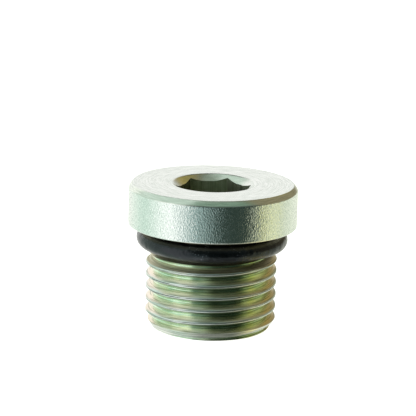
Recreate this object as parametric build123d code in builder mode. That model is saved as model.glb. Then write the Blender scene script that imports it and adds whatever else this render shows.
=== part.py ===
"""Hex socket screw plug with an O-ring on its neck, for an M16 x 1.5 port.

Millimetres. The origin is the middle of the flat threaded end, on which the plug stands, and +Z runs
up its axis to the head. Two flats of the socket face +Y and -Y. Heights are measured from the origin.
"""

from build123d import *
from math import ceil, radians, tan
import os

# Head: a round flange with a chamfered top edge and a broken lower edge
head_diameter = 20.6
head_height = 5.16
head_chamfer_width = 0.47
head_chamfer_height = 0.62
head_edge_break = 0.16

# Shank: a plain neck under the head, then the thread
shank_length = 12.76
neck_length = 3.14
neck_corner = 0.2  # the turning tool leaves this in the corner under the head
neck_relief = 0.03  # the neck's radius is this much less than the thread's root
run_in_angle = 45.0
end_face_diameter = 14.32
end_chamfer_length = 1.32

# Thread: metric fine, right-handed
thread_diameter = 16.0
thread_pitch = 1.5
thread_depth = 0.92
thread_angle = 60.0
crest_width = 0.28
crest_height_at_x = 4.29  # height of one crest over the +X axis, which sets where the thread starts

# Hexagon socket: drilled, countersunk, then broached
socket_across_flats = 8.0
socket_depth = 7.5
pilot_diameter = 8.1
pilot_depth = 8.3
drill_point_angle = 118.0
drill_chisel_width = 0.4
countersink_diameter = 10.18
countersink_angle = 110.0

# O-ring, stretched on the neck
ring_section = 2.2
ring_gap_to_head = 0.59
ring_squeeze = 0.02  # how much its inner side is flattened against the neck

# How far the thread cutter runs past what it cuts
cutter_overrun = 0.2

# Radii and heights that follow from the sizes above
head_radius = head_diameter / 2
thread_radius = thread_diameter / 2
root_radius = thread_radius - thread_depth
neck_radius = root_radius - neck_relief
end_face_radius = end_face_diameter / 2
pilot_radius = pilot_diameter / 2
top_height = shank_length + head_height
thread_top_height = shank_length - neck_length
run_in_length = (thread_radius - neck_radius) / tan(radians(run_in_angle))


# ------------------------------------------------------------ thread cutter
# The groove between two crests is a blunt vee. Its corners are (radius, height over the groove's middle).
flank_slope = tan(radians(thread_angle / 2))
groove_half_width = (thread_pitch - crest_width) / 2
root_half_width = groove_half_width - thread_depth * flank_slope
cutter_half_width = groove_half_width + cutter_overrun * flank_slope
cutter_radius = thread_radius + cutter_overrun
groove_corners = [
    (root_radius, root_half_width),
    (cutter_radius, cutter_half_width),
    (cutter_radius, -cutter_half_width),
    (root_radius, -root_half_width),
]

# It starts clear below the end face and runs out beside the neck, clear above the thread
groove_height_at_x = crest_height_at_x + thread_pitch / 2
turns_below = ceil((groove_height_at_x + cutter_half_width) / thread_pitch)
groove_start = groove_height_at_x - turns_below * thread_pitch
groove_end = thread_top_height + cutter_half_width + cutter_overrun
groove_turns = ceil((groove_end - groove_start) / thread_pitch)

# Each turn has faces of its own, ruled between the helices of its corners
cutter_faces = []
for turn in range(groove_turns):
    turn_start = groove_start + turn * thread_pitch
    turn_rise = min(thread_pitch, groove_end - turn_start)
    helices = [
        Edge.make_helix(thread_pitch, turn_rise, radius, center=(0, 0, turn_start + height))
        for radius, height in groove_corners
    ]
    for corner, helix in enumerate(helices):
        cutter_faces.append(Face.make_surface_from_curves(helices[corner - 1], helix))
    if turn == 0:
        cutter_faces.append(Face(Wire.make_polygon([helix @ 0 for helix in helices])))
cutter_faces.append(Face(Wire.make_polygon([helix @ 1 for helix in helices])))
thread_cutter = Solid(Shell(cutter_faces))


# ---------------------------------------------------------------- plug body
with BuildPart() as plug_body:
    # The turned blank: end face, end chamfer, thread cylinder, run-in, neck and head
    with BuildSketch(Plane.XZ) as blank_section:
        with BuildLine() as blank_outline:
            Polyline(
                (0, 0),
                (end_face_radius, 0),
                (thread_radius, end_chamfer_length),
                (thread_radius, thread_top_height - run_in_length),
                (neck_radius, thread_top_height),
                (neck_radius, shank_length),
                (head_radius, shank_length),
                (head_radius, top_height),
                (0, top_height),
                close=True,
            )
        make_face()
    revolve(axis=Axis.Z)

    # The head's two outer edges, and the corner where the neck meets it
    rims = plug_body.edges().filter_by(GeomType.CIRCLE).group_by(SortBy.RADIUS)[-1].sort_by(Axis.Z)
    head_side = plug_body.faces().filter_by(GeomType.CYLINDER).sort_by(SortBy.RADIUS)[-1]
    chamfer(rims[-1], length=head_chamfer_height, length2=head_chamfer_width, reference=head_side)
    chamfer(rims[0], length=head_edge_break)
    under_head = plug_body.edges().filter_by_position(Axis.Z, shank_length, shank_length)
    chamfer(under_head.filter_by(GeomType.CIRCLE).sort_by(SortBy.RADIUS)[0], length=neck_corner)

    # The thread
    add(thread_cutter, mode=Mode.SUBTRACT)

    # The socket's drilled hole with its point, and the countersink at its mouth
    point_length = (pilot_diameter - drill_chisel_width) / 2 / tan(radians(drill_point_angle / 2))
    countersink_length = countersink_diameter / 2 / tan(radians(countersink_angle / 2))
    with BuildSketch(Plane.XZ) as drilled_section:
        with BuildLine() as drilled_outline:
            Polyline(
                (0, top_height),
                (pilot_radius, top_height),
                (pilot_radius, top_height - pilot_depth),
                (drill_chisel_width / 2, top_height - pilot_depth - point_length),
                (0, top_height - pilot_depth - point_length),
                close=True,
            )
        make_face()
        with BuildLine() as countersink_outline:
            Polyline(
                (0, top_height),
                (countersink_diameter / 2, top_height),
                (0, top_height - countersink_length),
                close=True,
            )
        make_face()
    revolve(axis=Axis.Z, mode=Mode.SUBTRACT)

    # The broached hexagon
    with BuildSketch(Plane.XY.offset(top_height)) as hexagon:
        RegularPolygon(radius=socket_across_flats / 2, side_count=6, major_radius=False)
    extrude(amount=-socket_depth, mode=Mode.SUBTRACT)

plug_body.part.label = "plug_body"


# ------------------------------------------------------------------- O-ring
ring_middle_radius = neck_radius + ring_section / 2 - ring_squeeze
ring_middle_height = shank_length - ring_gap_to_head - ring_section / 2

with BuildPart() as o_ring:
    with BuildSketch(Plane.XZ) as cord_section:
        with Locations((ring_middle_radius, ring_middle_height)):
            Circle(ring_section / 2)
        # Its inner side lies flat on the neck
        with Locations((neck_radius, ring_middle_height)):
            Rectangle(ring_section, ring_section, align=(Align.MAX, Align.CENTER), mode=Mode.SUBTRACT)
    revolve(axis=Axis.Z)

o_ring.part.label = "o_ring"


os.makedirs("parts", exist_ok=True)
export_step(plug_body.part, "parts/plug_body.step")
export_step(o_ring.part, "parts/o_ring.step")
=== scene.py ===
"""Hex socket screw plug with an O-ring on its neck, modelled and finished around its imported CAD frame.

The plug is turned, threaded and broached here as a mesh of its own, with the small radii that the CAD
leaves out. The O-ring is a round cord stretched on the plug's neck. Lengths are metres, heights are measured
from the flat threaded end that the plug stands on, and +Z runs up its axis to the head.
"""

import logging
import math
from collections.abc import Callable, Sequence
from dataclasses import dataclass
from enum import Enum

import bpy
from mathutils import Matrix, Vector


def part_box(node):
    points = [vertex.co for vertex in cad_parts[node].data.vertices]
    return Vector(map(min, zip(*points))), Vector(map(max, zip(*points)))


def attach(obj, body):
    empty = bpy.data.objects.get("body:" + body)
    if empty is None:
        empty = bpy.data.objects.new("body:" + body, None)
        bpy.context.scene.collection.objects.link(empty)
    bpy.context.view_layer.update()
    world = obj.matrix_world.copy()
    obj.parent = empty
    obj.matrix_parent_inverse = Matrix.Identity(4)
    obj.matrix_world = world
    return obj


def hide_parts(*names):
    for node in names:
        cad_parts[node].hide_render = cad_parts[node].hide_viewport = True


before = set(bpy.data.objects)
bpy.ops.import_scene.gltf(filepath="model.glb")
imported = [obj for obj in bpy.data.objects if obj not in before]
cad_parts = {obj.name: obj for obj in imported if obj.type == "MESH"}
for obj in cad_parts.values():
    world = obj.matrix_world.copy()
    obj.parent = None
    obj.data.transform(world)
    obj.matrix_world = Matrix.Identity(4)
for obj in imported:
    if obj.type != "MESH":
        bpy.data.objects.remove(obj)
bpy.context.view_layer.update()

MM = 0.001
# Points nearer to each other than this are one point
CLOSE = 1e-6
BODY = "root"
WHITE = "FFFFFF"
HEXAGON_SIDES = 6
QUARTER_TURN = math.radians(90)
log = logging.getLogger("plug")


@dataclass(frozen=True)
class Span:
    """A stretch of a scale, without its two ends."""

    low: float
    high: float

    def holds(self, number: float) -> bool:
        """Says whether a number lies inside."""
        return self.low < number < self.high


# ------------------------------------------------------------------ modelling


@dataclass(frozen=True)
class Corner:
    """A corner of an outline in the XZ plane, rounded where cut_back says how far from it that starts."""

    radius: float
    height: float
    cut_back: float = 0.0
    facets: int = 3

    @property
    def place(self) -> Vector:
        """Where the corner is before it is rounded."""
        return Vector((self.radius, 0, self.height))


class Element(Enum):
    """What edit mode selects: its name there, and the list that a mesh keeps it in."""

    VERTEX = ("VERT", "vertices")
    EDGE = ("EDGE", "edges")
    FACE = ("FACE", "polygons")


def half_opening(angle: float) -> float:
    """Says how far a cone or vee opens to each side per unit of depth, from its full angle in degrees."""
    return math.tan(math.radians(angle / 2))


def deselect_everything() -> None:
    """Leaves nothing selected, because the CAD nodes come in selected."""
    bpy.ops.object.select_all(action="DESELECT")


def work_on(piece: bpy.types.Object) -> None:
    """Makes one piece the only selected and the active one.

    Args:
        piece: That piece.
    """
    deselect_everything()
    piece.select_set(True)
    bpy.context.view_layer.objects.active = piece


def edit_all(piece: bpy.types.Object) -> None:
    """Opens one piece in edit mode with all of it selected.

    Args:
        piece: That piece, which becomes the active one.
    """
    work_on(piece)
    bpy.ops.object.mode_set(mode="EDIT")
    bpy.ops.mesh.select_all(action="SELECT")


def select(piece: bpy.types.Object, element: Element, wanted: Callable[..., bool]) -> None:
    """Selects a piece's vertices, edges or faces in code and leaves the piece in edit mode.

    Args:
        piece: The active object.
        element: Which of the three it selects.
        wanted: Says of one of them whether it is selected.
    """
    mode, kept_in = element.value
    bpy.ops.object.mode_set(mode="EDIT")
    bpy.ops.mesh.select_mode(type=mode)
    bpy.ops.mesh.select_all(action="DESELECT")
    bpy.ops.object.mode_set(mode="OBJECT")
    for one in getattr(piece.data, kept_in):
        one.select = wanted(one)
    bpy.ops.object.mode_set(mode="EDIT")


def apply_modifier(piece: bpy.types.Object, kind: str, **settings: object) -> None:
    """Adds a modifier to a piece, sets it up and applies it.

    Args:
        piece: The piece, which becomes the active one.
        kind: Blender's name of the kind of modifier.
        settings: The modifier's settings by name.
    """
    work_on(piece)
    bpy.ops.object.modifier_add(type=kind)
    modifier = piece.modifiers[-1]
    for name, value in settings.items():
        setattr(modifier, name, value)
    bpy.ops.object.modifier_apply(modifier=modifier.name)


def draw_outline(name: str, corners: Sequence[Corner]) -> bpy.types.Object:
    """Draws an open outline by extruding one vertex from corner to corner, then rounds its corners.

    Args:
        name: What the new object is called.
        corners: The corners in order.

    Returns:
        The outline, a chain of edges, as the active object.
    """
    deselect_everything()
    bpy.ops.mesh.primitive_plane_add(size=MM)
    outline = bpy.context.object
    outline.name = name
    bpy.ops.object.mode_set(mode="EDIT")
    bpy.ops.mesh.merge(type="CENTER")
    bpy.ops.transform.translate(value=corners[0].place)
    for last, corner in zip(corners, corners[1:]):
        step = corner.place - last.place
        bpy.ops.mesh.extrude_vertices_move(TRANSFORM_OT_translate={"value": step})
    bpy.ops.object.mode_set(mode="OBJECT")
    for corner in corners:
        if corner.cut_back:
            select(outline, Element.VERTEX, lambda vertex: (vertex.co - corner.place).length < CLOSE)
            bpy.ops.mesh.bevel(offset=corner.cut_back, segments=corner.facets, affect="VERTICES")
            bpy.ops.object.mode_set(mode="OBJECT")
    return outline


def turn(piece: bpy.types.Object, steps: int) -> None:
    """Spins an outline round the Z axis into a closed solid, and points its faces outwards.

    Args:
        piece: The outline, whose ends meet each other or lie on the axis.
        steps: The number of flats in the full turn.
    """
    edit_all(piece)
    bpy.ops.mesh.spin(steps=steps, angle=math.tau, center=(0, 0, 0), axis=(0, 0, 1))
    bpy.ops.mesh.select_all(action="SELECT")
    bpy.ops.mesh.remove_doubles(threshold=CLOSE)
    bpy.ops.mesh.normals_make_consistent(inside=False)
    bpy.ops.object.mode_set(mode="OBJECT")


def cut_away(piece: bpy.types.Object, cutter: bpy.types.Object) -> None:
    """Cuts one solid out of another and removes the cutter.

    Args:
        piece: The solid that stays.
        cutter: The solid that is cut out of it.
    """
    apply_modifier(piece, "BOOLEAN", operation="DIFFERENCE", solver="EXACT", object=cutter)
    bpy.data.objects.remove(cutter)


def clear_slivers(piece: bpy.types.Object, finest: float) -> None:
    """Merges the slivers that a cut leaves where it meets an edge at a shallow angle.

    Args:
        piece: The cut solid.
        finest: The shortest edge that stays.
    """
    edit_all(piece)
    bpy.ops.mesh.remove_doubles(threshold=finest)
    bpy.ops.mesh.dissolve_degenerate(threshold=finest)
    bpy.ops.object.mode_set(mode="OBJECT")


def smooth(piece: bpy.types.Object, sharpest: float) -> None:
    """Shades a piece smooth except at its sharp edges, with its flats kept flat.

    Args:
        piece: The finished mesh.
        sharpest: The angle between faces, in degrees, above which an edge stays sharp.
    """
    work_on(piece)
    bpy.ops.object.shade_smooth_by_angle(angle=math.radians(sharpest))
    apply_modifier(piece, "WEIGHTED_NORMAL", keep_sharp=True)


# ------------------------------------------------------------------ materials

# A Mix node's colour sockets go by place, because its other sockets share their names
MIX_FIRST, MIX_SECOND, MIX_RESULT = 6, 7, 2
# A new colour ramp comes with this many stops
RAMP_STOPS = 2


def linear(hex_colour: str) -> tuple[float, float, float, float]:
    """Turns an sRGB hex colour into the linear one that Blender's sockets take.

    Args:
        hex_colour: Six hex digits.

    Returns:
        Linear red, green, blue and an alpha of 1.
    """
    shares = [int(hex_colour[at : at + 2], 16) / 255 for at in (0, 2, 4)]
    # The curve's numbers are those of the sRGB standard
    curve = [s / 12.92 if s <= 0.04045 else ((s + 0.055) / 1.055) ** 2.4 for s in shares]
    return curve[0], curve[1], curve[2], 1.0


def add_node(
    tree: bpy.types.NodeTree,
    kind: str,
    inputs: dict | None = None,
    stops: Sequence[tuple[float, str]] = (),
    **settings: object,
) -> bpy.types.Node:
    """Adds a node, sets it up, and feeds each of its sockets a value or another node's output.

    Args:
        tree: The node tree that it joins.
        kind: Blender's name of the kind of node.
        inputs: For a socket's name or place, its value, or the output that it is linked to, or a node
            whose first output it is linked to.
        stops: A colour ramp's stops, each a place from 0 to 1 and a hex colour.
        settings: The node's own settings by name.

    Returns:
        The new node.
    """
    node = tree.nodes.new(kind)
    for name, value in settings.items():
        setattr(node, name, value)
    for socket, given in (inputs or {}).items():
        value = given.outputs[0] if isinstance(given, bpy.types.Node) else given
        if isinstance(value, bpy.types.NodeSocket):
            tree.links.new(value, node.inputs[socket])
        else:
            node.inputs[socket].default_value = value
    for place, (position, colour) in enumerate(stops):
        ramp = node.color_ramp.elements
        stop = ramp[place] if place < RAMP_STOPS else ramp.new(position)
        stop.position = position
        stop.color = linear(colour)
    return node


class Zone(Enum):
    """The parts of the plug's surface that were made differently, by the names of their materials."""

    TURNED = "turned_zinc"
    BAR_SKIN = "bar_skin_zinc"
    THREAD = "rolled_thread_zinc"
    SOCKET = "broached_zinc"
    STRAW = "straw_zinc"
    POOLED = "pooled_zinc"
    END = "end_chamfer_zinc"


@dataclass(frozen=True)
class TurnedZinc:
    """Bright zinc on turned steel: near white, with the fine rings that a turning tool leaves.

    The rings break a reflection into thin arcs, which tell the eye that the surface was turned.
    """

    dull: str = "D6DDD3"
    bright: str = "F2F5EE"
    tones: Span = Span(0.35, 0.65)
    metallic: float = 1.0
    roughness: float = 0.24
    # The tool's feed is near 0.1 mm, drawn as coarse as it needs to show
    ring_spacing: float = 0.16 * MM
    ring_depth: float = 0.004 * MM
    # Rings are told apart by radius plus this share of height, so that no cone lies along one ring
    rise: float = -1.0
    # How far along a ring it keeps its tone
    arc: float = 1.5 * MM

    def dress(self, tree: bpy.types.NodeTree) -> bpy.types.Node:
        """Builds the finish.

        Args:
            tree: The material's empty node tree.

        Returns:
            The shader node.
        """
        here = add_node(tree, "ShaderNodeTexCoord").outputs["Object"]
        axes = add_node(tree, "ShaderNodeSeparateXYZ", {0: here}).outputs
        flat = add_node(tree, "ShaderNodeVectorMath", {0: here, 1: (1, 1, 0)}, operation="MULTIPLY")
        radius = add_node(tree, "ShaderNodeVectorMath", {0: flat}, operation="LENGTH").outputs["Value"]
        along = add_node(
            tree, "ShaderNodeMath", {0: axes["Z"], 1: self.rise, 2: radius}, operation="MULTIPLY_ADD"
        )
        rings = add_node(tree, "ShaderNodeMath", {0: along, 1: 1 / self.ring_spacing}, operation="MULTIPLY")
        slow = add_node(tree, "ShaderNodeVectorMath", {0: here, "Scale": 1 / self.arc}, operation="SCALE")
        drift = add_node(tree, "ShaderNodeSeparateXYZ", {0: slow}).outputs
        place = add_node(tree, "ShaderNodeCombineXYZ", {0: rings, 1: drift["X"], 2: drift["Y"]})
        marks = add_node(tree, "ShaderNodeTexNoise", {"Vector": place, "Scale": 1.0, "Detail": 3.0})
        tone = add_node(
            tree, "ShaderNodeValToRGB", {0: marks},
            stops=[(self.tones.low, self.dull), (self.tones.high, self.bright)],
        )
        bump = add_node(
            tree, "ShaderNodeBump", {"Height": marks, "Distance": self.ring_depth, "Strength": 1.0}
        )
        return add_node(
            tree, "ShaderNodeBsdfPrincipled",
            {"Base Color": tone, "Metallic": self.metallic, "Roughness": self.roughness, "Normal": bump},
        )


@dataclass(frozen=True)
class BarSkinZinc:
    """Zinc on the skin of a drawn bar: matt and pebbled, its grains catching light one by one."""

    dull: str = "D0DCD4"
    bright: str = "F4FAF4"
    tones: Span = Span(0.35, 0.62)
    metallic: float = 1.0
    roughness: float = 0.2
    # The skin's grains are some hundredths of a millimetre, drawn as coarse as they need to show
    grain: float = 0.12 * MM
    pebble: float = 0.14 * MM
    pebble_depth: float = 0.025 * MM
    # Grains were drawn out a little along the bar, so the pattern runs at this rate there
    rate_along_bar: float = 0.6

    def dress(self, tree: bpy.types.NodeTree) -> bpy.types.Node:
        """Builds the finish.

        Args:
            tree: The material's empty node tree.

        Returns:
            The shader node.
        """
        here = add_node(tree, "ShaderNodeTexCoord").outputs["Object"]
        drawn = add_node(
            tree, "ShaderNodeMapping", {"Vector": here, "Scale": (1, 1, self.rate_along_bar)}
        )
        grains = add_node(
            tree, "ShaderNodeTexNoise",
            {"Vector": drawn, "Scale": 1 / self.grain, "Detail": 2.0, "Roughness": 0.6},
        )
        tone = add_node(
            tree, "ShaderNodeValToRGB", {0: grains},
            stops=[(self.tones.low, self.dull), (self.tones.high, self.bright)],
        )
        pebbles = add_node(
            tree, "ShaderNodeTexVoronoi", {"Vector": drawn, "Scale": 1 / self.pebble}
        ).outputs["Distance"]
        bump = add_node(
            tree, "ShaderNodeBump", {"Height": pebbles, "Distance": self.pebble_depth, "Strength": 1.0}
        )
        return add_node(
            tree, "ShaderNodeBsdfPrincipled",
            {"Base Color": tone, "Metallic": self.metallic, "Roughness": self.roughness, "Normal": bump},
        )


@dataclass(frozen=True)
class ThreadZinc:
    """Zinc on a rolled thread, whose chromate film shows its colours.

    The film is even and clear on the crests, and on the flanks it is thicker, so that they turn pink by the
    crest, then straw, olive, and green in the root. A place on the thread is a share of its pitch, from 0 in
    the middle of one crest, up to 1 in the middle of the next.
    """

    pitch: float
    crest_height_at_x: float
    crest: str = "E4ECE8"
    near_crest: str = "F8EEE4"
    flank: str = "FCEED8"
    near_root: str = "F2EED2"
    root: str = "DEF6DC"
    under_flank: str = "D4E6D6"
    # A painted shade line along the underside of each crest
    edge: str = "7E867C"
    # The film's colours wander up and down the flank by up to this place, in clouds
    wander: float = 0.07
    cloud: float = 3 * MM
    cloud_tones: Span = Span(0.3, 0.7)
    # A painted warm light tints the flanks golden: it comes in over this span of X, and over this one off a
    # crest's middle
    warm_light_tint: str = "F6F5D8"
    warm_lit_side: Span = Span(1.5 * MM, 6 * MM)
    warm_lit_flank: Span = Span(0.08, 0.18)
    # Painted shade in the grooves: its grey, and the patch of X that it darkens
    groove_shade: str = "C4C9B6"
    patch_centre: float = 1.25 * MM
    patch_reach: float = 4.5 * MM
    patch_edge: float = 2.6 * MM
    # The rolling leaves lines some hundredths of a millimetre apart, drawn as coarse as they need to show
    line: str = "C2C8BC"
    line_tones: Span = Span(0.36, 0.52)
    line_spacing: float = 0.1 * MM
    line_depth: float = 0.005 * MM
    arc: float = 4 * MM
    change_per_turn: float = 1.5
    seam: str = "4A504A"
    seam_tones: Span = Span(0.4, 0.62)
    seam_half_width: float = 0.035
    metallic: float = 0.98
    crest_roughness: float = 0.36
    root_roughness: float = 0.15
    roughness_change: Span = Span(0.1, 0.45)

    def dress(self, tree: bpy.types.NodeTree) -> bpy.types.Node:
        """Builds the finish.

        Args:
            tree: The material's empty node tree.

        Returns:
            The shader node.
        """
        here = add_node(tree, "ShaderNodeTexCoord").outputs["Object"]
        axes = add_node(tree, "ShaderNodeSeparateXYZ", {0: here}).outputs
        # The place on the thread, following the helix
        angle = add_node(tree, "ShaderNodeMath", {0: axes["Y"], 1: axes["X"]}, operation="ARCTAN2")
        turned = add_node(tree, "ShaderNodeMath", {0: angle, 1: math.tau}, operation="DIVIDE")
        above = add_node(
            tree, "ShaderNodeMath", {0: axes["Z"], 1: self.crest_height_at_x}, operation="SUBTRACT"
        )
        pitches = add_node(tree, "ShaderNodeMath", {0: above, 1: self.pitch}, operation="DIVIDE")
        wound = add_node(tree, "ShaderNodeMath", {0: pitches, 1: turned}, operation="SUBTRACT")
        place = add_node(tree, "ShaderNodeMath", {0: wound}, operation="FRACT")
        # And how far the nearest crest's middle is, up to half a pitch
        off_crest = add_node(tree, "ShaderNodeMath", {0: wound, 1: 0.5}, operation="PINGPONG")
        # The film's thickness wanders, which moves its colours up and down the flank
        clouds = add_node(
            tree, "ShaderNodeTexNoise", {"Vector": here, "Scale": 1 / self.cloud, "Detail": 2.0}
        )
        shift = add_node(
            tree, "ShaderNodeMapRange",
            {
                "Value": clouds, "From Min": self.cloud_tones.low, "From Max": self.cloud_tones.high,
                "To Min": -self.wander, "To Max": self.wander,
            },
        )
        film_place = add_node(tree, "ShaderNodeMath", {0: place, 1: shift}, operation="ADD")
        film = add_node(
            tree, "ShaderNodeValToRGB", {0: film_place},
            stops=[
                (0.0, self.crest), (1.0, self.crest), (0.08, self.crest), (0.14, self.near_crest),
                (0.27, self.flank), (0.42, self.near_root), (0.48, self.root), (0.58, self.root),
                (0.66, self.under_flank), (0.82, self.under_flank), (0.88, self.edge), (0.93, self.crest),
            ],
        )
        # Painted warm light: the flanks on the +X side are tinted golden
        sideways = add_node(
            tree, "ShaderNodeMapRange",
            {"Value": axes["X"], "From Min": self.warm_lit_side.low, "From Max": self.warm_lit_side.high},
        )
        on_flank = add_node(
            tree, "ShaderNodeMapRange",
            {"Value": off_crest, "From Min": self.warm_lit_flank.low, "From Max": self.warm_lit_flank.high},
        )
        # The painted warm light's share at each place
        thick = add_node(tree, "ShaderNodeMath", {0: sideways, 1: on_flank}, operation="MULTIPLY")
        film = add_node(
            tree, "ShaderNodeMix", {0: thick, MIX_FIRST: film, MIX_SECOND: linear(self.warm_light_tint)},
            data_type="RGBA", blend_type="MULTIPLY",
        ).outputs[MIX_RESULT]
        # Painted shade darkens the groove's root and lower flank grey, in a patch on two sides of the thread
        off_patch = add_node(
            tree, "ShaderNodeMath", {0: axes["X"], 1: self.patch_centre}, operation="SUBTRACT"
        )
        off_patch = add_node(tree, "ShaderNodeMath", {0: off_patch}, operation="ABSOLUTE")
        patch = add_node(
            tree, "ShaderNodeMapRange",
            {
                "Value": off_patch, "From Min": self.patch_reach,
                "From Max": self.patch_reach - self.patch_edge,
            },
        )
        deep = add_node(
            tree, "ShaderNodeValToRGB", {0: place},
            stops=[
                (0.0, WHITE), (1.0, WHITE), (0.36, WHITE), (0.46, self.groove_shade), (0.84, self.groove_shade), (0.9, WHITE),
            ],
        )
        film = add_node(
            tree, "ShaderNodeMix", {0: patch, MIX_FIRST: film, MIX_SECOND: deep},
            data_type="RGBA", blend_type="MULTIPLY",
        ).outputs[MIX_RESULT]
        # Fine lines that run along the thread
        across = add_node(
            tree, "ShaderNodeMath", {0: place, 1: self.pitch / self.line_spacing}, operation="MULTIPLY"
        )
        slow = add_node(tree, "ShaderNodeVectorMath", {0: here, "Scale": 1 / self.arc}, operation="SCALE")
        drift = add_node(tree, "ShaderNodeSeparateXYZ", {0: slow}).outputs
        # Each turn's lines differ from those of the turn below
        uneven = add_node(
            tree, "ShaderNodeMath", {0: drift["Z"], 1: self.change_per_turn, 2: drift["X"]},
            operation="MULTIPLY_ADD",
        )
        line_place = add_node(tree, "ShaderNodeCombineXYZ", {0: across, 1: uneven, 2: drift["Y"]})
        lines = add_node(tree, "ShaderNodeTexNoise", {"Vector": line_place, "Scale": 1.0, "Detail": 2.0})
        shade = add_node(
            tree, "ShaderNodeValToRGB", {0: lines},
            stops=[(self.line_tones.low, self.line), (self.line_tones.high, WHITE)],
        )
        lined = add_node(
            tree, "ShaderNodeMix", {0: 1.0, MIX_FIRST: film, MIX_SECOND: shade},
            data_type="RGBA", blend_type="MULTIPLY",
        ).outputs[MIX_RESULT]
        # Rolling folds the crest's metal over itself, which leaves a dark ragged seam along it
        ragged = add_node(
            tree, "ShaderNodeMapRange",
            {
                "Value": lines, "From Min": self.seam_tones.low, "From Max": self.seam_tones.high,
                "To Min": 0.0, "To Max": self.seam_half_width,
            },
        )
        seam = add_node(tree, "ShaderNodeMath", {0: off_crest, 1: ragged}, operation="LESS_THAN")
        tone = add_node(
            tree, "ShaderNodeMix", {0: seam, MIX_FIRST: lined, MIX_SECOND: linear(self.seam)},
            data_type="RGBA",
        ).outputs[MIX_RESULT]
        roughness = add_node(
            tree, "ShaderNodeMapRange",
            {
                "Value": off_crest, "From Min": self.roughness_change.low,
                "From Max": self.roughness_change.high,
                "To Min": self.crest_roughness, "To Max": self.root_roughness,
            },
        )
        bump = add_node(
            tree, "ShaderNodeBump", {"Height": lines, "Distance": self.line_depth, "Strength": 1.0}
        )
        return add_node(
            tree, "ShaderNodeBsdfPrincipled",
            {"Base Color": tone, "Metallic": self.metallic, "Roughness": roughness, "Normal": bump},
        )


@dataclass(frozen=True)
class SocketZinc:
    """Thin zinc on broached walls: dull olive, streaked along the broach's travel, with painted shade on its
    -X walls and painted light on its +X walls.
    """

    dark: str = "C8D0BA"
    light: str = "E2E8D8"
    tones: Span = Span(0.38, 0.62)
    # From -X to +X, over this reach to each side, the walls go from painted shade to painted light through
    # these tints
    shaded_side_tint: str = "B8AC90"
    clear: str = "EEF0EC"
    lit_side_tint: str = WHITE
    reach: float = 4.5 * MM
    metallic: float = 1.0
    roughness: float = 0.36
    # A broach's score marks are near 0.1 mm wide, drawn as coarse as they need to show
    streak: float = 0.35 * MM
    streak_depth: float = 0.01 * MM
    # The pattern runs at this rate along the broach's travel
    rate_along_travel: float = 0.05

    def dress(self, tree: bpy.types.NodeTree) -> bpy.types.Node:
        """Builds the finish.

        Args:
            tree: The material's empty node tree.

        Returns:
            The shader node.
        """
        here = add_node(tree, "ShaderNodeTexCoord").outputs["Object"]
        stretched = add_node(
            tree, "ShaderNodeMapping", {"Vector": here, "Scale": (1, 1, self.rate_along_travel)}
        )
        streaks = add_node(
            tree, "ShaderNodeTexNoise", {"Vector": stretched, "Scale": 1 / self.streak, "Detail": 2.0}
        )
        streaked = add_node(
            tree, "ShaderNodeValToRGB", {0: streaks},
            stops=[(self.tones.low, self.dark), (self.tones.high, self.light)],
        )
        # Painted shade darkens the socket's -X walls brown, and painted light lightens its +X walls
        axes = add_node(tree, "ShaderNodeSeparateXYZ", {0: here}).outputs
        sideways = add_node(
            tree, "ShaderNodeMapRange",
            {"Value": axes["X"], "From Min": -self.reach, "From Max": self.reach},
        )
        # This ramp over X is the painted shade and painted light of the walls
        film = add_node(
            tree, "ShaderNodeValToRGB", {0: sideways},
            stops=[(0.1, self.shaded_side_tint), (0.5, self.clear), (0.75, self.clear), (0.95, self.lit_side_tint)],
        )
        tone = add_node(
            tree, "ShaderNodeMix", {0: 1.0, MIX_FIRST: streaked, MIX_SECOND: film},
            data_type="RGBA", blend_type="MULTIPLY",
        ).outputs[MIX_RESULT]
        bump = add_node(
            tree, "ShaderNodeBump", {"Height": streaks, "Distance": self.streak_depth, "Strength": 1.0}
        )
        return add_node(
            tree, "ShaderNodeBsdfPrincipled",
            {"Base Color": tone, "Metallic": self.metallic, "Roughness": self.roughness, "Normal": bump},
        )


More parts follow.
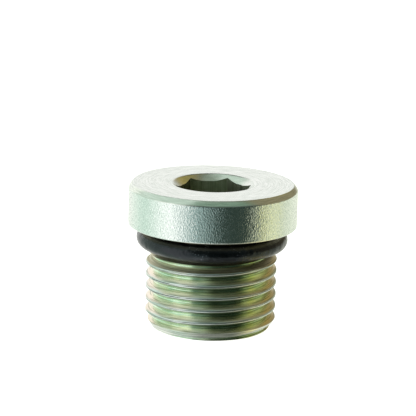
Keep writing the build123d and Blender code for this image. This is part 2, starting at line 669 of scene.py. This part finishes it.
@dataclass(frozen=True)
class Rubber:
    """Moulded nitrile rubber: near black, with a soft cool sheen and a little dust."""

    colour: str = "020203"
    dusty: str = "0E1012"
    tones: Span = Span(0.4, 0.7)
    sheen: str = "DCE8F0"
    ior: float = 1.54
    roughness: float = 0.19
    cloud: float = 1.2 * MM
    ripple_depth: float = 0.12 * MM
    # Dust is finer than this grain, drawn as coarse as it needs to show, and gathers in patches
    dust: str = "8A929A"
    grain: float = 0.14 * MM
    grain_depth: float = 0.012 * MM
    dust_grains: Span = Span(0.66, 0.72)
    dust_patches: Span = Span(0.5, 0.62)

    def dress(self, tree: bpy.types.NodeTree) -> bpy.types.Node:
        """Builds the finish.

        Args:
            tree: The material's empty node tree.

        Returns:
            The shader node.
        """
        here = add_node(tree, "ShaderNodeTexCoord").outputs["Object"]
        clouds = add_node(
            tree, "ShaderNodeTexNoise", {"Vector": here, "Scale": 1 / self.cloud, "Detail": 4.0}
        )
        clouded = add_node(
            tree, "ShaderNodeValToRGB", {0: clouds},
            stops=[(self.tones.low, self.colour), (self.tones.high, self.dusty)],
        )
        grain = add_node(
            tree, "ShaderNodeTexNoise", {"Vector": here, "Scale": 1 / self.grain, "Detail": 2.0}
        )
        specks = add_node(
            tree, "ShaderNodeMapRange",
            {"Value": grain, "From Min": self.dust_grains.low, "From Max": self.dust_grains.high},
        )
        patches = add_node(
            tree, "ShaderNodeMapRange",
            {"Value": clouds, "From Min": self.dust_patches.low, "From Max": self.dust_patches.high},
        )
        is_dust = add_node(tree, "ShaderNodeMath", {0: specks, 1: patches}, operation="MULTIPLY")
        tone = add_node(
            tree, "ShaderNodeMix", {0: is_dust, MIX_FIRST: clouded, MIX_SECOND: linear(self.dust)},
            data_type="RGBA",
        ).outputs[MIX_RESULT]
        ripple = add_node(
            tree, "ShaderNodeBump", {"Height": clouds, "Distance": self.ripple_depth, "Strength": 1.0}
        )
        bump = add_node(
            tree, "ShaderNodeBump",
            {"Height": grain, "Distance": self.grain_depth, "Normal": ripple, "Strength": 1.0},
        )
        return add_node(
            tree, "ShaderNodeBsdfPrincipled",
            {
                "Base Color": tone, "Roughness": self.roughness, "IOR": self.ior,
                "Specular Tint": linear(self.sheen), "Normal": bump,
            },
        )


@dataclass(frozen=True)
class LitPaper:
    """White studio paper, lit from within, which gives the eye a plain pale ground without shadows."""

    colour: str = "F4F4F2"
    glow: str = WHITE
    strength: float = 1.0

    def dress(self, tree: bpy.types.NodeTree) -> bpy.types.Node:
        """Builds the finish.

        Args:
            tree: The material's empty node tree.

        Returns:
            The shader node.
        """
        paper = add_node(tree, "ShaderNodeBsdfDiffuse", {"Color": linear(self.colour)})
        glow = add_node(
            tree, "ShaderNodeEmission", {"Color": linear(self.glow), "Strength": self.strength}
        )
        return add_node(tree, "ShaderNodeAddShader", {0: paper, 1: glow})


Finish = TurnedZinc | BarSkinZinc | ThreadZinc | SocketZinc | Rubber | LitPaper


def make_material(name: str, finish: Finish) -> bpy.types.Material:
    """Makes the material of one finish.

    Args:
        name: The material's name.
        finish: What builds its shader.

    Returns:
        The material.
    """
    material = bpy.data.materials.new(name)
    material.use_nodes = True
    tree = material.node_tree
    tree.nodes.clear()
    add_node(tree, "ShaderNodeOutputMaterial", {"Surface": finish.dress(tree)})
    return material


# --------------------------------------------------------------------- pieces


@dataclass
class Plug:
    """The plug: a bar turned to a head, a neck and a shank, then threaded, drilled and broached."""

    head_radius: float
    top_height: float
    head_height: float = 5.16 * MM
    head_chamfer_width: float = 0.47 * MM
    head_chamfer_height: float = 0.62 * MM
    head_edge_radius: float = 0.16 * MM
    head_corner_radius: float = 0.12 * MM
    rim_radius: float = 0.1 * MM
    mouth_radius: float = 0.2 * MM
    tool_nose: float = 0.06 * MM
    neck_radius: float = 7.05 * MM
    neck_corner_radius: float = 0.2 * MM
    thread_top_height: float = 9.62 * MM
    end_face_radius: float = 7.16 * MM
    end_chamfer_length: float = 1.32 * MM
    thread_radius: float = 8.0 * MM
    thread_pitch: float = 1.5 * MM
    thread_angle: float = 60.0
    crest_width: float = 0.28 * MM
    crest_height_at_x: float = 4.29 * MM
    crest_corner: float = 0.09 * MM
    root_corner: float = 0.27 * MM
    root_facets: int = 6
    blank_allowance: float = 0.05 * MM
    countersink_radius: float = 5.09 * MM
    countersink_angle: float = 110.0
    pilot_radius: float = 4.05 * MM
    pilot_depth: float = 8.3 * MM
    drill_point_angle: float = 118.0
    drill_chisel_radius: float = 0.2 * MM
    socket_across_flats: float = 8.0 * MM
    socket_depth: float = 7.5 * MM
    # The rod that hollows the die starts clear below the end face, and the die reaches past the thread
    rod_turns: int = 8
    rod_turns_below: int = 4
    die_above: float = 0.3 * MM
    die_below: float = 0.1 * MM
    die_radius: float = 12.0 * MM
    die_sides: int = 32
    broach_above: float = 1 * MM
    broach_corner: float = 0.12 * MM
    broach_facets: int = 3
    # How far in from the head's side a face still belongs to the bar's skin
    skin_depth: float = 0.02 * MM
    # The upward part of a face's normal: at most this on a wall, in these spans on the thread's run-in and
    # the end chamfer, and at least this on the upper side of a crest
    wall_lean: float = 0.2
    run_in_lean: Span = Span(0.6, 0.8)
    end_chamfer_lean: Span = Span(-0.62, -0.45)
    flank_lean: float = 0.8
    finest_edge: float = 0.002 * MM
    sharpest_smooth: float = 30.0
    turn_steps: int = 160

    def blank(self) -> bpy.types.Object:
        """Turns the blank with its drilled and countersunk hole.

        Returns:
            The blank, a little over size where the thread comes.
        """
        shank_radius = self.thread_radius + self.blank_allowance
        chamfer_rise = self.end_chamfer_length / (self.thread_radius - self.end_face_radius)
        head_bottom = self.top_height - self.head_height
        countersink_width = self.countersink_radius - self.pilot_radius
        countersink_drop = countersink_width / half_opening(self.countersink_angle)
        pilot_bottom = self.top_height - self.pilot_depth
        point_drop = (self.pilot_radius - self.drill_chisel_radius) / half_opening(self.drill_point_angle)
        nose = self.tool_nose
        corners = [
            Corner(0, 0),
            Corner(self.end_face_radius, 0, nose),
            Corner(shank_radius, (shank_radius - self.end_face_radius) * chamfer_rise),
            Corner(shank_radius, self.thread_top_height - (shank_radius - self.neck_radius)),
            Corner(self.neck_radius, self.thread_top_height, nose),
            Corner(self.neck_radius, head_bottom, self.neck_corner_radius),
            Corner(self.head_radius, head_bottom, self.head_edge_radius),
            Corner(self.head_radius, self.top_height - self.head_chamfer_height, self.head_corner_radius),
            Corner(self.head_radius - self.head_chamfer_width, self.top_height, self.rim_radius),
            Corner(self.countersink_radius, self.top_height, self.mouth_radius),
            Corner(self.pilot_radius, self.top_height - countersink_drop),
            Corner(self.pilot_radius, pilot_bottom),
            Corner(self.drill_chisel_radius, pilot_bottom - point_drop),
            Corner(0, pilot_bottom - point_drop),
        ]
        blank = draw_outline("plug", corners)
        turn(blank, self.turn_steps)
        return blank

    def close_end(self, rod: bpy.types.Object, is_top: bool) -> None:
        """Closes one end of the threaded rod with a fan of faces.

        Args:
            rod: The active object, open at both ends.
            is_top: Whether the end is the upper one.
        """
        bpy.ops.object.mode_set(mode="EDIT")
        bpy.ops.mesh.select_mode(type="EDGE")
        bpy.ops.mesh.select_all(action="DESELECT")
        bpy.ops.mesh.select_non_manifold(
            use_wire=False, use_multi_face=False, use_non_contiguous=False, use_verts=False
        )
        bpy.ops.object.mode_set(mode="OBJECT")
        open_edges = {edge.index for edge in rod.data.edges if edge.select}

        def is_at_end(edge: bpy.types.MeshEdge) -> bool:
            """Says whether an edge lies round the end's opening."""
            middle = sum(rod.data.vertices[v].co.z for v in edge.vertices) / len(edge.vertices)
            return edge.index in open_edges and (middle > self.crest_height_at_x) == is_top

        select(rod, Element.EDGE, is_at_end)
        bpy.ops.mesh.extrude_edges_move()
        bpy.ops.mesh.merge(type="CENTER")
        bpy.ops.object.mode_set(mode="OBJECT")

    def threading_die(self) -> bpy.types.Object:
        """Makes the solid that cuts the thread: a ring whose hole is the threaded rod.

        Returns:
            The ring, which reaches past both ends of the thread.
        """
        die_top = self.thread_top_height + self.die_above
        die_bottom = -self.die_below
        groove_half = (self.thread_pitch - self.crest_width) / 2
        groove_bottom = self.thread_radius - groove_half / half_opening(self.thread_angle)
        start = self.crest_height_at_x - self.rod_turns_below * self.thread_pitch
        half_crest = self.crest_width / 2
        profile = [
            Corner(self.thread_radius, start),
            Corner(self.thread_radius, start + half_crest, self.crest_corner),
            Corner(groove_bottom, start + self.thread_pitch / 2, self.root_corner, self.root_facets),
            Corner(self.thread_radius, start + self.thread_pitch - half_crest, self.crest_corner),
            Corner(self.thread_radius, start + self.thread_pitch),
        ]
        rod = draw_outline("threaded_rod", profile)
        apply_modifier(
            rod, "SCREW", screw_offset=self.thread_pitch, iterations=self.rod_turns,
            steps=self.turn_steps, render_steps=self.turn_steps,
        )
        edit_all(rod)
        bpy.ops.mesh.remove_doubles(threshold=CLOSE)
        bpy.ops.object.mode_set(mode="OBJECT")
        for is_top in (False, True):
            self.close_end(rod, is_top)
        edit_all(rod)
        bpy.ops.mesh.normals_make_consistent(inside=False)
        bpy.ops.object.mode_set(mode="OBJECT")
        deselect_everything()
        bpy.ops.mesh.primitive_cylinder_add(
            vertices=self.die_sides,
            radius=self.die_radius,
            depth=die_top - die_bottom,
            location=(0, 0, (die_top + die_bottom) / 2),
        )
        die = bpy.context.object
        cut_away(die, rod)
        return die

    def broach(self) -> bpy.types.Object:
        """Makes the hexagon that is pushed into the drilled hole.

        Returns:
            The hexagon, two of whose flats face +Y and -Y.
        """
        height = self.socket_depth + self.broach_above
        deselect_everything()
        bpy.ops.mesh.primitive_cylinder_add(
            vertices=HEXAGON_SIDES,
            radius=self.socket_across_flats / 2 / math.cos(math.pi / HEXAGON_SIDES),
            depth=height,
            location=(0, 0, self.top_height + self.broach_above - height / 2),
            rotation=(0, 0, QUARTER_TURN),
        )
        hexagon = bpy.context.object
        bpy.ops.object.transform_apply(location=True, rotation=True, scale=True)

        def is_upright(edge: bpy.types.MeshEdge) -> bool:
            """Says whether an edge runs between two of the walls."""
            low, high = (hexagon.data.vertices[v].co for v in edge.vertices)
            return abs(high.z - low.z) > height / 2

        select(hexagon, Element.EDGE, is_upright)
        bpy.ops.mesh.bevel(offset=self.broach_corner, segments=self.broach_facets)
        bpy.ops.object.mode_set(mode="OBJECT")
        return hexagon

    def zone(self, face: bpy.types.MeshPolygon) -> Zone:
        """Says how the surface at a face was made.

        Args:
            face: A face of the finished plug.

        Returns:
            Its zone.
        """
        radius = math.hypot(face.center.x, face.center.y)
        height = face.center.z
        lean = face.normal.z
        in_head = height > self.top_height - self.head_height
        if in_head and radius > self.head_radius - self.skin_depth:
            return Zone.BAR_SKIN
        if radius < self.neck_radius - self.root_corner:
            in_socket = height > self.end_chamfer_length and abs(lean) < self.wall_lean
            return Zone.SOCKET if in_socket else Zone.TURNED
        if in_head:
            return Zone.TURNED
        by_run_in = self.thread_top_height - height < self.thread_radius - self.neck_radius
        if height > self.thread_top_height or (by_run_in and self.run_in_lean.holds(lean)):
            return Zone.STRAW
        if height < self.end_chamfer_length and self.end_chamfer_lean.holds(lean):
            return Zone.END
        on_top_turn = height > self.thread_top_height - self.thread_pitch
        turns_up = (height - self.crest_height_at_x) / self.thread_pitch
        place = (turns_up - math.atan2(face.center.y, face.center.x) / math.tau) % 1.0
        # The first half of a pitch is the upper side of a crest
        over_crest = place < 0.5 and lean > self.flank_lean
        return Zone.POOLED if on_top_turn and over_crest else Zone.THREAD

    def finishes(self) -> dict[Zone, Finish]:
        """Gives the finish of each zone.

        Returns:
            The finishes, in the order of the plug's material slots.
        """
        return {
            Zone.TURNED: TurnedZinc(),
            Zone.BAR_SKIN: BarSkinZinc(),
            Zone.THREAD: ThreadZinc(self.thread_pitch, self.crest_height_at_x),
            Zone.SOCKET: SocketZinc(),
            # The neck and run-in, under the ring, have a darker straw-yellow tone
            Zone.STRAW: TurnedZinc(
                dull="AEA88A", bright="F4ECD4", roughness=0.36, ring_spacing=0.2 * MM, arc=5 * MM
            ),
            # The upper side of the topmost crest, under the ring, is matt, with a darker yellow tone
            Zone.POOLED: TurnedZinc(
                dull="B4AA88", bright="FAF2DC", roughness=0.56, ring_spacing=0.2 * MM, arc=5 * MM
            ),
            # The end's chamfer was turned roughly, so its rings are deep and its dull tone dark
            Zone.END: TurnedZinc(
                dull="8E988A", bright="EEF2EA", ring_depth=0.008 * MM, rise=0.5, arc=5 * MM
            ),
        }

    def dress(self, plug: bpy.types.Object) -> None:
        """Gives each zone of the plug its finish.

        Args:
            plug: The plug's mesh, finished.
        """
        work_on(plug)
        for place, (zone, finish) in enumerate(self.finishes().items()):
            plug.data.materials.append(make_material(zone.value, finish))
            select(plug, Element.FACE, lambda face: self.zone(face) is zone)
            plug.active_material_index = place
            bpy.ops.object.material_slot_assign()
            bpy.ops.object.mode_set(mode="OBJECT")

    def build(self) -> bpy.types.Object:
        """Makes the plug and gives it its finishes.

        Returns:
            The finished piece.
        """
        plug = self.blank()
        cut_away(plug, self.threading_die())
        cut_away(plug, self.broach())
        clear_slivers(plug, self.finest_edge)
        self.dress(plug)
        smooth(plug, self.sharpest_smooth)
        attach(plug, BODY)
        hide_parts("plug_body")
        return plug


@dataclass
class SealRing:
    """The O-ring, a round cord whose inner side is pressed flat on the plug's neck."""

    middle_radius: float
    middle_height: float
    neck_radius: float = 7.05 * MM
    section: float = 2.2 * MM
    section_steps: int = 48
    sharpest_smooth: float = 60.0
    turn_steps: int = 192

    def build(self) -> bpy.types.Object:
        """Makes the ring and gives it its finish.

        Returns:
            The finished piece.
        """
        deselect_everything()
        bpy.ops.mesh.primitive_circle_add(
            vertices=self.section_steps,
            radius=self.section / 2,
            location=(self.middle_radius, 0, self.middle_height),
            rotation=(QUARTER_TURN, 0, 0),
        )
        ring = bpy.context.object
        ring.name = "seal_ring"
        bpy.ops.object.transform_apply(location=True, rotation=True, scale=True)
        select(ring, Element.VERTEX, lambda vertex: vertex.co.x < self.neck_radius)
        bpy.ops.transform.resize(value=(0, 1, 1), center_override=(self.neck_radius, 0, 0))
        bpy.ops.object.mode_set(mode="OBJECT")
        turn(ring, self.turn_steps)
        smooth(ring, self.sharpest_smooth)
        ring.data.materials.append(make_material("nitrile_rubber", Rubber()))
        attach(ring, BODY)
        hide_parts("o_ring")
        return ring


# --------------------------------------------------------------------- studio


@dataclass(frozen=True)
class Card:
    """A soft-edged sheet of light in the tent round the plug, by angles in degrees as the camera sees them.

    Azimuth 0 is the camera's side, negative is to its left, and elevation 0 is level.
    """

    azimuth: float
    elevation: float
    half_width: float
    half_height: float
    colour: str
    strength: float = 1.0
    soft: float = 14.0


def band(
    tree: bpy.types.NodeTree, angle: bpy.types.Node, centre: float, half: float, soft: float
) -> bpy.types.Node:
    """Makes a mask that is 1 within some degrees of an angle and falls softly to 0 beyond.

    Args:
        tree: The world's node tree.
        angle: The direction's angle, in radians.
        centre: The angle in the middle of the band, in degrees.
        half: Half the band's width, in degrees.
        soft: How many degrees its edge takes.

    Returns:
        The mask.
    """
    off = add_node(tree, "ShaderNodeMath", {0: angle, 1: math.radians(centre)}, operation="SUBTRACT")
    wrapped = add_node(tree, "ShaderNodeMath", {0: off, 1: math.pi, 2: -math.pi}, operation="WRAP")
    away = add_node(tree, "ShaderNodeMath", {0: wrapped}, operation="ABSOLUTE")
    return add_node(
        tree, "ShaderNodeMapRange",
        {
            "Value": away, "From Min": math.radians(half + soft / 2),
            "From Max": math.radians(half - soft / 2),
        },
        interpolation_type="SMOOTHSTEP",
    )


@dataclass
class Studio:
    """The floor, the light around the plug and the camera."""

    floor_side: float = 1.2
    aim_height: float = 8.92 * MM
    # The camera's place and turn are in degrees, and its lens and sensor in millimetres
    azimuth: float = -8.0
    elevation: float = 14.583
    distance: float = 295.1 * MM
    focal_length: float = 208.7
    sensor: float = 36.0
    roll: float = 1.597
    pan: float = 0.085
    tilt: float = 1.098
    nearest_seen: float = 14.755 * MM
    tent: str = "2E3C37"
    cards: tuple[Card, ...] = (
        Card(15, 55, 60, 25, "7F9A89"),  # dim room, high above the camera
        Card(0, 32, 75, 12, "5E6863", soft=12),  # windows behind the camera
        Card(0, 90, 180, 20, "939F92"),  # ceiling
        Card(0, -75, 180, 22, "8C8E88", soft=16),  # the table under the plug, in its shade
        Card(0, -47, 180, 12, "B6B8B2", soft=16),  # the pale table round it
        Card(-72, -50, 66, 24, "F6F6F2", 1.5, soft=24),  # the table in the soft box's light
        Card(104, -40, 40, 16, "E2D294", 1.6, soft=20),  # the table in the warm wall's light
        Card(-34, -18, 26, 24, "9FB6B6", soft=34),  # the soft box's spill
        Card(-125, -10, 62, 60, "D5E6DC", 1.12),  # pale wall, left and behind
        Card(-110, 45, 70, 30, "D5E6DC", 1.0),  # the same wall, higher up
        Card(-158, -10, 28, 45, "F4F6F0", 1.2),  # its brightest part
        Card(-60, -20, 21, 45, WHITE, 1.2, soft=8),  # soft box
        Card(123, -22, 56, 22, "DCE0CC", 1.05),  # warm wall, right
        Card(153, -20, 24, 22, "F2F4E6", 1.1),  # its brightest part
        Card(86, -18, 7, 22, "F6F0B0", 1.05, soft=10),  # a lamp's glow on its edge
        Card(118, 32, 48, 33, "8E866C"),  # brown cloth above it
        Card(161, 26, 10, 9, "968E6E", soft=8),  # a gap at its edge
        Card(148, 44, 14, 16, "A89858", soft=16),  # a brass shade in it
        Card(-172, 20, 24, 17, WHITE, 1.03),  # white sweep behind
        Card(180, 47, 28, 9, "1E2420", soft=8),  # the dark room over the sweep
    )

    def floor(self) -> None:
        """Lays a pale floor under the plug that the plug's own surfaces don't show."""
        deselect_everything()
        bpy.ops.mesh.primitive_plane_add(size=self.floor_side)
        floor = bpy.context.object
        floor.name = "floor"
        floor.visible_glossy = False
        floor.visible_shadow = False
        floor.data.materials.append(make_material("lit_paper", LitPaper()))

    def surround(self) -> None:
        """Sets the light that comes from all round, as the cards of a small tent would give it."""
        world = bpy.data.worlds.new("light_tent")
        bpy.context.scene.world = world
        world.use_nodes = True
        tree = world.node_tree
        tree.nodes.clear()
        out_there = add_node(tree, "ShaderNodeTexCoord").outputs["Generated"]
        axes = add_node(tree, "ShaderNodeSeparateXYZ", {0: out_there}).outputs
        compass = add_node(tree, "ShaderNodeMath", {0: axes["Y"], 1: axes["X"]}, operation="ARCTAN2")
        # Azimuth 0 is the camera's side, a quarter turn back from +X
        ahead = math.radians(self.azimuth) - QUARTER_TURN
        around = add_node(tree, "ShaderNodeMath", {0: compass, 1: ahead}, operation="SUBTRACT")
        up = add_node(tree, "ShaderNodeMath", {0: axes["Z"]}, operation="ARCSINE")
        light = add_node(tree, "ShaderNodeBackground", {"Color": linear(self.tent)})
        for card in self.cards:
            across = band(tree, around, card.azimuth, card.half_width, card.soft)
            along = band(tree, up, card.elevation, card.half_height, card.soft)
            mask = add_node(tree, "ShaderNodeMath", {0: across, 1: along}, operation="MULTIPLY")
            lit = add_node(
                tree, "ShaderNodeBackground", {"Color": linear(card.colour), "Strength": card.strength}
            )
            light = add_node(tree, "ShaderNodeMixShader", {0: mask, 1: light, 2: lit})
        white = add_node(tree, "ShaderNodeBackground", {"Color": linear(WHITE)})
        seen = add_node(tree, "ShaderNodeLightPath").outputs["Is Camera Ray"]
        either = add_node(tree, "ShaderNodeMixShader", {0: seen, 1: light, 2: white})
        add_node(tree, "ShaderNodeOutputWorld", {"Surface": either})

    def camera(self) -> None:
        """Places the camera."""
        turned, raised = math.radians(self.azimuth), math.radians(self.elevation)
        back = Vector(
            (math.sin(turned) * math.cos(raised), -math.cos(turned) * math.cos(raised), math.sin(raised))
        )
        lens = bpy.data.cameras.new("camera")
        lens.lens = self.focal_length
        lens.sensor_width = self.sensor
        lens.clip_start = self.nearest_seen
        camera = bpy.data.objects.new("camera", lens)
        bpy.context.scene.collection.objects.link(camera)
        facing = back.to_track_quat("Z", "Y").to_matrix().to_4x4()
        camera.matrix_world = (
            Matrix.Translation(Vector((0, 0, self.aim_height)) + back * self.distance)
            @ facing
            @ Matrix.Rotation(math.radians(self.roll), 4, "Z")
            @ Matrix.Rotation(math.radians(self.pan), 4, "Y")
            @ Matrix.Rotation(math.radians(self.tilt), 4, "X")
        )
        bpy.context.scene.camera = camera

    def build(self) -> None:
        """Sets the floor, light and camera."""
        self.floor()
        self.surround()
        self.camera()
        bpy.context.scene.view_settings.view_transform = "Standard"


def main() -> None:
    """Builds the plug, its O-ring and the studio."""
    logging.basicConfig(level=logging.INFO)
    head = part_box("plug_body")[1]
    cord_low, cord_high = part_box("o_ring")
    ring_height = (cord_low.z + cord_high.z) / 2
    ring_radius = cord_high.x - (cord_high.z - cord_low.z) / 2
    for piece in (
        Plug(head_radius=head.x, top_height=head.z).build(),
        SealRing(middle_radius=ring_radius, middle_height=ring_height).build(),
    ):
        log.info("%s: %d faces", piece.name, len(piece.data.polygons))
    Studio().build()


if __name__ == "__main__":
    main()
